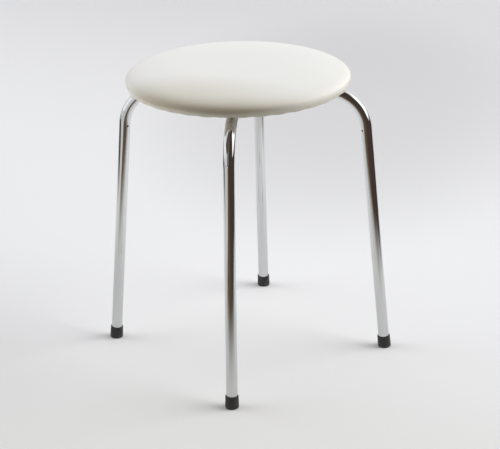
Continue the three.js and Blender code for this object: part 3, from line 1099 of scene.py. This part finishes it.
# Cards round the stool, by bearing from the front (positive to the right) and by rise, in degrees:
# where each one starts, is full, begins to fade and ends
DARK_ROOM = (0.056, 0.044, 0.037)
DARK_BEARINGS = (-4, 8, 84, 98)
DIM_ROOM = (0.1, 0.075, 0.054)
DIM_BEARINGS = (-75, -60, -8, 6)
DIM_FROM = (18, 30)
DIM_POST_BEARINGS = (-26, -16, -4, 6)
ROOM_TOP = (88, 74)
LEFT_PANEL = (1.05, 1.05, 1.08)
PANEL_BEARINGS = (-128, -116, -62, -52)
PANEL_RISES = (0, 5, 24, 30)
WINDOW = (1.5, 1.49, 1.44)
WINDOW_BEARINGS = (72, 84, 150, 165)
WINDOW_RISES = (2, 7, 40, 56)

# The dome that these cards lie on; its foot is a rise in radians
DOME_RADIUS = 12
DOME_SIDES = 48
DOME_RINGS = 25
DOME_FOOT = -0.05

# Softboxes that face the seat: azimuth from the back (clockwise) and rise in degrees, size and power
LAMP_DISTANCE = 8
LAMPS = {
    "right_softbox": {"azimuth": 86, "rise": 27, "width": 8, "tall": 6.4, "power": 535},
    "left_softbox": {"azimuth": -82, "rise": 15, "width": 8, "tall": 4.6, "power": 262},
}


def make_floor():
    """A pale paper floor, palest round the stool: painted shade darkens it far back, behind the stool and
    under the lamps, and it is darker towards the front; it fades into the sky far out.
    """
    look = Look("floor_paper", FLOOR_COLOUR, roughness=0.85)
    spot = look.axes()
    clouds = look.ramp(look.noise(scale=1.3, detail=3), low=0.3, high=0.7)
    paper = look.mix(clouds, FLOOR_COLOUR, FLOOR_CLOUD)
    back = look.math("ADD", spot["Y"], look.product(spot["X"], FLOOR_BACK_LEAN_SHARE))
    # Painted shade far back, coming in first on the right
    paper = look.mix(look.stepped(back, *FLOOR_BACK), paper, FLOOR_FAR_SHADE)
    # Painted shade behind the stool
    aside = look.math("DIVIDE", look.math("SUBTRACT", spot["X"], SHADE_PLACE[0]), SHADE_SIZE[0])
    behind = look.math("DIVIDE", look.math("SUBTRACT", spot["Y"], SHADE_PLACE[1]), SHADE_SIZE[1])
    apart = look.math("ADD", look.product(aside, aside), look.product(behind, behind))
    paper = look.mix(look.stepped(apart, 1, 0, high=SHADE_SHARE), paper, FLOOR_SHADE)
    # Darker towards the front
    paper = look.mix(look.stepped(spot["Y"], *FLOOR_FRONT), paper, FLOOR_NEAR)
    # Painted shade under the lamps at the sides, against their pools of light
    to_a_side = look.stepped(look.math("ABSOLUTE", spot["X"]), *FLOOR_ASIDE)
    look.tint(to_a_side, paper, FLOOR_SHADE_UNDER_LAMPS)
    look.set("Alpha", look.stepped(look.distance(look.place), *FLOOR_FADE))
    look.bump(look.noise(scale=400, detail=2), strength=0.05, depth=PAPER_GRAIN)
    corners = square(FLOOR_SIZE / 2, 0)
    make_object("floor", corners, [(0, 1, 2, 3)], look.material)


class Card(Nodes):
    """A glowing or dark studio card, clear where its cover is 0."""

    def __init__(self, name):
        super().__init__(name)
        self.nodes.remove(self.nodes["Principled BSDF"])

    def finish(self, colour, cover):
        glow = self.node("ShaderNodeEmission", {"Color": colour})
        clear = self.node("ShaderNodeBsdfTransparent")
        mixed = self.node("ShaderNodeMixShader", {
            0: cover, 1: clear.outputs["BSDF"], 2: glow.outputs["Emission"],
        })
        self.links.new(mixed.outputs["Shader"], self.nodes["Material Output"].inputs["Surface"])

    def front_side(self):
        back = self.node("ShaderNodeNewGeometry").outputs["Backfacing"]
        return self.math("SUBTRACT", 1.0, back)


def stage_card(card):
    """A card shapes what the chrome and the seat's sides see. Like a lamp, it doesn't show itself."""
    card.visible_camera = False
    card.data.materials[0].cycles.emission_sampling = "NONE"


def make_floor_cards():
    """Dark cards on the floor that show from above: brown in front, darker right, grey at the left."""
    card = Card("floor_cards")
    spot = card.axes()
    past_turn = card.math("MAXIMUM", card.math("SUBTRACT", spot["X"], FRONT_TURN), 0.0)
    ahead = card.math("SUBTRACT", spot["Y"], card.product(past_turn, FRONT_TURN_SHARE))
    front = card.product(card.stepped(ahead, *FRONT_EDGE), card.stepped(spot["X"], *FRONT_END))
    right = card.stepped(spot["X"], *RIGHT_EDGE)
    left = card.product(card.stepped(spot["X"], *LEFT_EDGE), card.stepped(spot["Y"], *LEFT_END))
    left = card.product(left, card.stepped(spot["X"], *LEFT_FADE))
    colour = card.mix(card.stepped(spot["X"], *CORNER_EDGE), FRONT_DARK, CORNER_DARK)
    colour = card.mix(right, colour, SIDE_DARK)
    colour = card.mix(left, colour, LEFT_DARK)
    cover = card.math("MAXIMUM", card.math("MAXIMUM", front, right), left)
    card.finish(colour, card.product(cover, card.front_side()))
    corners = square(DOME_RADIUS, CARD_LIFT)
    stage_card(make_object("floor_cards", corners, [(0, 1, 2, 3)], card.material))


def make_round_cards():
    """Cards round the stool: dark and dim ones in front, a lit panel at the left, a window at the right."""
    card = Card("round_cards")
    spot = card.axes()
    ahead = card.product(spot["Y"], -1)
    bearing = card.math("DEGREES", card.math("ARCTAN2", spot["X"], ahead))
    rise = card.math("DEGREES", card.math("ARCSINE", card.math("DIVIDE", spot["Z"], DOME_RADIUS)))

    def between(value, start, full, fade, end):
        return card.product(card.stepped(value, start, full), card.stepped(value, fade, end, 1, 0))

    dim = card.product(between(bearing, *DIM_BEARINGS), card.stepped(rise, *DIM_FROM))
    dim = card.math("MAXIMUM", dim, between(bearing, *DIM_POST_BEARINGS))
    dark = between(bearing, *DARK_BEARINGS)
    panel = card.product(between(bearing, *PANEL_BEARINGS), between(rise, *PANEL_RISES))
    window = card.product(between(bearing, *WINDOW_BEARINGS), between(rise, *WINDOW_RISES))
    colour = card.mix(dark, DIM_ROOM, DARK_ROOM)
    colour = card.mix(panel, colour, LEFT_PANEL)
    colour = card.mix(window, colour, WINDOW)
    room = card.product(card.math("MAXIMUM", dim, dark), card.stepped(rise, *ROOM_TOP))
    card.finish(colour, card.math("MAXIMUM", card.math("MAXIMUM", panel, window), room))
    outline = [(0, DOME_RADIUS)]
    for tilt in np.linspace(QUARTER, DOME_FOOT, DOME_RINGS)[1:]:
        outline.append((DOME_RADIUS * math.cos(tilt), DOME_RADIUS * math.sin(tilt)))
    outline.append((0, outline[-1][1]))
    points, faces = spun(outline, DOME_SIDES)
    stage_card(make_object("round_cards", points, faces[:-DOME_SIDES], card.material))


def make_light(name, azimuth, rise, width, tall, power):
    """An oval softbox that faces the seat, and that glossy surfaces don't show."""
    turn, tilt = math.radians(azimuth), math.radians(rise)
    away = Vector((math.cos(tilt) * math.sin(turn), math.cos(tilt) * math.cos(turn), math.sin(tilt)))
    data = bpy.data.lights.new(name, "AREA")
    data.shape = "ELLIPSE"
    data.size = width
    data.size_y = tall
    data.energy = power
    lamp = bpy.data.objects.new(name, data)
    lamp.location = Vector((0, 0, RUN_HEIGHT)) + LAMP_DISTANCE * away
    lamp.visible_glossy = False
    lamp.rotation_euler = away.to_track_quat("Z", "Y").to_euler()
    bpy.context.scene.collection.objects.link(lamp)


def make_studio():
    """A pale floor and sky, the cards round the stool, and a softbox at each side."""
    world = bpy.data.worlds.new("studio")
    bpy.context.scene.world = world
    world.use_nodes = True
    background = world.node_tree.nodes["Background"]
    background.inputs["Color"].default_value = (*SKY_COLOUR, 1)
    background.inputs["Strength"].default_value = 1
    make_floor()
    make_floor_cards()
    make_round_cards()
    for name, lamp in LAMPS.items():
        make_light(name, **lamp)


def dress_frame(looks):
    """Gives the CAD nodes that stay visible their materials."""
    kinds = {"seat_board": "plywood", "foot_washer": "zinc_steel", "insert_nut": "zinc_steel"}
    for name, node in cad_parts.items():
        for start, look in kinds.items():
            if name.startswith(start):
                node.data.materials.clear()
                node.data.materials.append(looks[look])


def main():
    bpy.context.scene.view_settings.view_transform = "Standard"
    make_camera()
    looks = {
        "vinyl": vinyl_look(), "chrome": chrome_look(), "unplated_and_shaded": unplated_and_shaded_look(),
        "weld": weld_look(), "zinc_steel": zinc_look(), "black_rubber": rubber_look(),
        "black_nylon": nylon_look(), "plywood": plywood_look(), "foam": foam_look(),
    }
    skin = make_cover(looks["vinyl"])
    make_foam(looks["foam"], skin)
    make_staples(looks["zinc_steel"])
    for side, angle in LEGS.items():
        make_leg(side, angle, looks["chrome"], looks["unplated_and_shaded"])
        make_weld(side, angle, looks["weld"])
        make_foot(side, angle, looks["black_rubber"])
        make_screw(side, angle, looks["zinc_steel"])
        make_saddles(side, angle, looks["black_nylon"])
    make_hub(looks["chrome"])
    dress_frame(looks)
    make_studio()


main()
